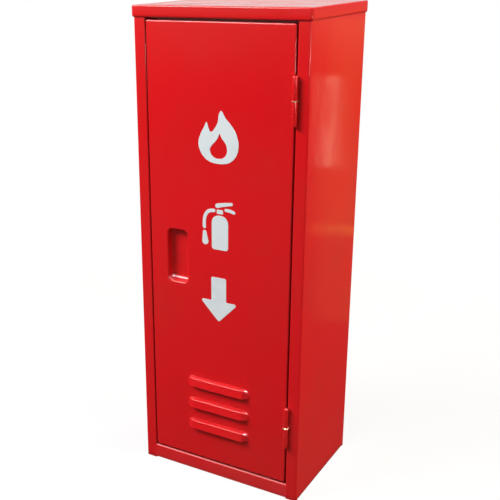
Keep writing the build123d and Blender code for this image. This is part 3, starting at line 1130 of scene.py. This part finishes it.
def washer_place(place):
    """The middle of the washer of the upper or lower hinge, and half its size along each axis."""
    low, high = cad_box(f"{place}_hinge_washer")
    return (low + high) / 2, (high - low) / 2


def rounding(radius, height, ease, angle):
    """Points of a turned profile on an arc of radius ease, round a point of the profile."""
    return np.stack([radius + ease * np.cos(angle), height + ease * np.sin(angle)], axis=-1)


def knuckle_skin(place, half):
    """A turned knuckle on its leaf. The top of the door's one is a dome, the other ends are eased."""
    size = sizes()
    low, high = cad_box(f"{place}_hinge_{half}_leaf")
    centre, _ = washer_place(place)
    radius = centre[1] - low[1] - size.knuckle_trim
    ease = size.knuckle_ease
    crown = size.knuckle_crown if half == "door" else ease
    profile = np.concatenate([
        [(0, low[2])], rounding(radius - ease, low[2] + ease, ease, arc(-HALF_PI, 0, 4)),
        rounding(radius - crown, high[2] - crown, crown, arc(0, HALF_PI, 7)), [(0, high[2])],
    ])
    skin = Skin().add(lathe(profile, centre), close_columns=True)
    door_edge = cad_box("door_panel")[1][0]
    off_washer, under_dome = 1.0, 1.5
    if half == "door":
        leaf_x = (door_edge, door_edge + size.leaf_sheet)
        leaf_z = (low[2] + off_washer, high[2] - under_dome)
    else:
        stile_edge = door_edge + size.hinge_gap
        leaf_x = (stile_edge - size.leaf_sheet, stile_edge)
        leaf_z = (low[2], high[2] - off_washer)
    return slab(skin, leaf_x, (centre[1], high[1]), leaf_z)


def washer_skin(place):
    """A washer, turned, with a round outer edge."""
    centre, (radius, _, thick) = washer_place(place)
    bore = sizes().washer_bore
    under, over = (bore, centre[2] - thick), (bore, centre[2] + thick)
    edge = rounding(radius - thick, centre[2], thick, arc(-HALF_PI, HALF_PI, 8))
    profile = np.concatenate([[under], edge, [over, under]])
    return Skin().add(lathe(profile, centre), close_columns=True)


class CABINET_OT_hinges(bpy.types.Operator):
    """Builds the lift-off hinges: turned knuckles with domed and eased ends on their leaves, and washers."""

    bl_idname = "cabinet.hinges"
    bl_label = "Hinges"

    def execute(self, context):
        for place in HINGES:
            for half, body in (("frame", "cabinet"), ("door", "door")):
                piece(f"{place}_{half}_knuckle", knuckle_skin(place, half), body,
                      "Enamel at hinges", replaces=[f"{place}_hinge_{half}_leaf"])
            piece(f"{place}_ring", washer_skin(place), "cabinet", "Washer steel",
                  replaces=[f"{place}_hinge_washer"])
        return {"FINISHED"}


class CABINET_OT_carried_over(bpy.types.Operator):
    """Finishes the CAD pieces that stay as they are: floor pan, head rail, back panel, catch and pins."""

    bl_idname = "cabinet.carried_over"
    bl_label = "Inner pieces"

    def execute(self, context):
        finishes = {
            "floor_pan": "Enamel inside", "head_rail": "Enamel outside", "back_panel": "Enamel outside",
            "catch_bracket": "Enamel inside", "catch_case": "Catch plastic", "catch_magnet": "Ferrite",
            "catch_pole_plates": "Zinc plate", "catch_strike_plate": "Zinc plate",
            "upper_hinge_pin": "Pin steel", "lower_hinge_pin": "Pin steel",
        }
        for name, finish in finishes.items():
            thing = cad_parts[name]
            thing.data.materials.clear()
            thing.data.materials.append(material_of(finish))
        return {"FINISHED"}


# The stage


def look_at_frame(scene):
    """The camera where the photograph was taken from: it looks down and to the left at the cabinet.

    Angles are in radians, lengths in millimetres, and the focal length and the optical centre in
    pixels of a square picture.
    """
    picture = 500.0
    principal = (180.0, 266.0)
    focal_pixels, distance = 866.71, 1379.17
    target = np.array([-121.28, 3.0, 296.71])
    yaw, pitch, roll = 0.5585, 0.3417, -0.0171
    forward = np.array([-np.sin(yaw) * np.cos(pitch), np.cos(yaw) * np.cos(pitch), -np.sin(pitch)])
    level = np.array([np.cos(yaw), np.sin(yaw), 0.0])
    upright = np.cross(level, forward)
    right = np.cos(roll) * level + np.sin(roll) * upright
    up = -np.sin(roll) * level + np.cos(roll) * upright
    data = bpy.data.cameras.new("Camera")
    data.sensor_width = 36.0
    data.lens = focal_pixels / picture * data.sensor_width
    data.shift_x = (picture / 2 - principal[0]) / picture
    data.shift_y = (principal[1] - picture / 2) / picture
    data.clip_start, data.clip_end = 0.05, 60.0
    camera = bpy.data.objects.new("Camera", data)
    bpy.context.collection.objects.link(camera)
    turn = Matrix(np.column_stack([right, up, -forward]).tolist()).to_4x4()
    camera.matrix_world = Matrix.Translation(Vector((target - forward * distance) * MM)) @ turn
    scene.camera = camera


def lamp(name, place, aim, size, power, tint=(1, 1, 1), beam=180, lights=True, mirrored=True):
    """A soft rectangular lamp, in metres and watts, that shines from place towards aim.

    Its beam is so many degrees wide. It may light surfaces without being mirrored in the gloss, or
    be mirrored without lighting them.
    """
    data = bpy.data.lights.new(name, "AREA")
    data.shape = "RECTANGLE"
    data.size, data.size_y = size
    data.energy = power
    data.spread = np.radians(beam)
    data.color = tint
    thing = bpy.data.objects.new(name, data)
    bpy.context.collection.objects.link(thing)
    thing.location = place
    thing.rotation_mode = "QUATERNION"
    thing.rotation_quaternion = (Vector(place) - Vector(aim)).to_track_quat("Z", "Y")
    thing.visible_camera = False
    thing.visible_diffuse = lights
    thing.visible_glossy = mirrored


def lamps():
    """The studio lamps, and small cards that suggest a room in the gloss of the right side."""
    warm_white, dusk = (1.0, 0.82, 0.56), (1.0, 0.6, 0.1)
    lamp("Key", (-1.2, -1.25, 1.75), (0, -0.05, 0.2), (1.3, 0.55), 67)
    lamp("Side fill", (1.9, 0.4, 1.65), (0.13, 0, 0.4), (0.9, 0.9), 45, warm_white)
    lamp("Back fill", (1.1, 2.5, 1.5), (0, 0.1, 0.4), (0.8, 0.8), 36, mirrored=False)
    lamp("Front fill", (0.9, -2.6, 0.4), (0.05, 0, 0.3), (0.6, 0.6), 7, mirrored=False)
    lamp("Right fill", (1.9, -0.42, 0.9), (0.1, -0.1, 0.3), (0.3, 0.3), 6, mirrored=False)
    lamp("Right strip", (1.95, -0.89, 0.417), (0.131, -0.09, 0.64), (0.5, 0.06), 4, lights=False)
    lamp("Ceiling lamp", (0.95, -0.8, 1.25), (0.03, -0.1, 0.1), (0.3, 0.3), 12, beam=30, lights=False)
    lamp("Window", (0.353, 0.525, 0.445), (0.131, -0.022, 0.551), (0.026, 0.178), 0.014, (1.0, 0.85, 0.6))
    lamp("Warm wall", (0.344, 0.580, 0.427), (0.131, 0.03, 0.535), (0.086, 0.43), 0.028, dusk)
    lamp("Lower wall", (0.333, 0.567, 0.110), (0.131, 0.041, 0.315), (0.087, 0.2), 0.007, dusk)
    lamp("Sill", (0.340, 0.559, 0.211), (0.131, 0.025, 0.388), (0.110, 0.022), 0.002, (1.0, 0.7, 0.1))


def share_of_rays(tree, path, direct, glossy):
    """A value for camera and transmission rays, another for glossy ones, and 0 for light that falls on
    things."""
    seen = math(tree, "MAXIMUM", path["Is Camera Ray"], path["Is Transmission Ray"])
    seen = math(tree, "MULTIPLY", seen, direct)
    return math(tree, "MAXIMUM", seen, math(tree, "MULTIPLY", path["Is Glossy Ray"], glossy))


def pale_floor(tints):
    """A round floor. Seen straight on it is pale with the cabinet's shadow and turns white further off.
    In the gloss it is a dim warm glow, and little of the light on it is thrown back at the cabinet."""
    tree, shader = new_material("Pale floor")
    path = node(tree, "ShaderNodeLightPath").outputs
    tint = mixed(tree, path["Is Camera Ray"], tints.bounce, tints.floor)
    give(tree, shader.inputs["Base Color"], tint)
    shader.inputs["Roughness"].default_value = 0.9
    shader.inputs["Specular IOR Level"].default_value = 0.0
    glow_tint = mixed(tree, path["Is Glossy Ray"], (1, 1, 1, 1), (1.0, 0.82, 0.55, 1))
    glow = node(tree, "ShaderNodeEmission", Strength=1.0, Color=glow_tint)
    far = length_of(tree, object_place(tree))
    direct = ranged(tree, ranged(tree, far, 0.35, 1.3), 0.0, 1.0, 0.85, 1.0)
    mirrored = ranged(tree, far, 2.0, 11.0, 0.04, 0.35)
    both = node(tree, "ShaderNodeMixShader", Fac=share_of_rays(tree, path, direct, mirrored))
    give(tree, both.inputs[1], shader.outputs[0])
    give(tree, both.inputs[2], glow.outputs[0])
    give(tree, tree.nodes["Material Output"].inputs[0], both.outputs[0])

    angle = np.linspace(0, 2 * np.pi, 96, endpoint=False)
    radius = np.array([0, 0.5, 1, 2, 4, 8, 16])[:, None] / MM
    disc = np.stack(np.broadcast_arrays(radius * np.cos(angle), radius * np.sin(angle), 0.0), -1)
    mesh = Skin().add(disc, close_columns=True, flip=True).mesh("floor")
    mesh.materials.append(material_of("Pale floor"))
    floor = bpy.data.objects.new("floor", mesh)
    bpy.context.collection.objects.link(floor)


def surround(scene):
    """The world: white to the camera, in the gloss dimmer overhead and to the right, and weak as light."""
    world = bpy.data.worlds.new("Surround")
    scene.world = world
    world.use_nodes = True
    tree = world.node_tree
    tree.nodes.clear()
    towards = node(tree, "ShaderNodeSeparateXYZ", Vector=object_place(tree)).outputs
    overhead = ranged(tree, towards["Z"], 0.5, 0.8, 0.76, 0.15)
    mirrored = math(tree, "MULTIPLY", overhead, ranged(tree, towards["X"], -0.1, 0.4, 1.0, 0.3))
    path = node(tree, "ShaderNodeLightPath").outputs
    strength = math(tree, "MAXIMUM", share_of_rays(tree, path, 1.0, mirrored), 0.18)
    pale = node(tree, "ShaderNodeBackground", Color=(1, 1, 1, 1), Strength=strength)
    give(tree, node(tree, "ShaderNodeOutputWorld").inputs[0], pale.outputs[0])


class CABINET_OT_stage(bpy.types.Operator):
    """Sets the camera, a plain pale floor, soft lamps and a pale surround."""

    bl_idname = "cabinet.stage"
    bl_label = "Stage"

    def execute(self, context):
        context.scene.view_settings.view_transform = "Standard"
        look_at_frame(context.scene)
        pale_floor(colours())
        surround(context.scene)
        lamps()
        return {"FINISHED"}


OPERATORS = (
    CABINET_OT_materials, CABINET_OT_stage, CABINET_OT_door, CABINET_OT_finger_pull, CABINET_OT_marks,
    CABINET_OT_sides, CABINET_OT_roof, CABINET_OT_hinges, CABINET_OT_carried_over,
)


class CABINET_PT_sidebar(bpy.types.Panel):
    """The cabinet's sizes, colours and steps."""

    bl_label = "Cabinet"
    bl_idname = "CABINET_PT_sidebar"
    bl_space_type = "VIEW_3D"
    bl_region_type = "UI"
    bl_category = "Cabinet"

    def draw(self, context):
        for group in (context.scene.cabinet_sizes, context.scene.cabinet_colours):
            box = self.layout.box()
            for name in type(group).__annotations__:
                box.prop(group, name)
        for operator in OPERATORS:
            self.layout.operator(operator.bl_idname)


CLASSES = (CabinetSizes, CabinetColours, *OPERATORS, CABINET_PT_sidebar)


def register():
    """Makes the sizes, the colours, the steps and the panel known to Blender."""
    for kind in CLASSES:
        bpy.utils.register_class(kind)
    bpy.types.Scene.cabinet_sizes = bpy.props.PointerProperty(type=CabinetSizes)
    bpy.types.Scene.cabinet_colours = bpy.props.PointerProperty(type=CabinetColours)


def unregister():
    """Takes back what register has done."""
    del bpy.types.Scene.cabinet_colours
    del bpy.types.Scene.cabinet_sizes
    for kind in reversed(CLASSES):
        bpy.utils.unregister_class(kind)


def main():
    """Builds the cabinet."""
    register()
    for operator in OPERATORS:
        family, name = operator.bl_idname.split(".")
        getattr(getattr(bpy.ops, family), name)()


if __name__ == "__main__":
    main()
